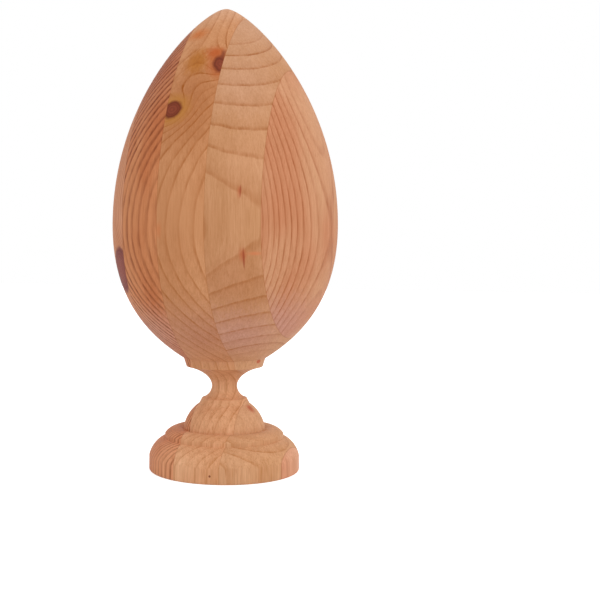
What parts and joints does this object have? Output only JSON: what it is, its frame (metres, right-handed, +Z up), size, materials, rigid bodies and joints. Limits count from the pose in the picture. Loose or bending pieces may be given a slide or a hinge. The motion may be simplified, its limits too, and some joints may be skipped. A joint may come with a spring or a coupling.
{
  "type": "egg finial",
  "caption": "Egg-shaped wooden newel finial turned from a glued block of boards, on a collar, a thin neck and a round moulded base.",
  "frame": {"origin": "centre of the round underside", "axes": "+Z up along the turning axis, from the base to the tip of the egg; the boards are stacked along X, with their broad faces square to it"},
  "size_m": [0.1334, 0.1334, 0.2731],
  "materials": {
    "left_board_2_wood": "bare sanded softwood, reddish board",
    "left_board_1_wood": "bare sanded softwood, reddish board with close dark growth rings",
    "centre_board_wood": "bare sanded softwood, ochre board with knots",
    "right_board_1_wood": "bare sanded softwood, pale tan board with wide growth rings",
    "right_board_2_wood": "bare sanded softwood, pinkish board with upright growth rings"
  },
  "bodies": {
    "root": {"left_board_2": "left_board_2_wood", "left_board_1": "left_board_1_wood", "centre_board": "centre_board_wood", "right_board_1": "right_board_1_wood", "right_board_2": "right_board_2_wood"}
  },
  "joints": []
}
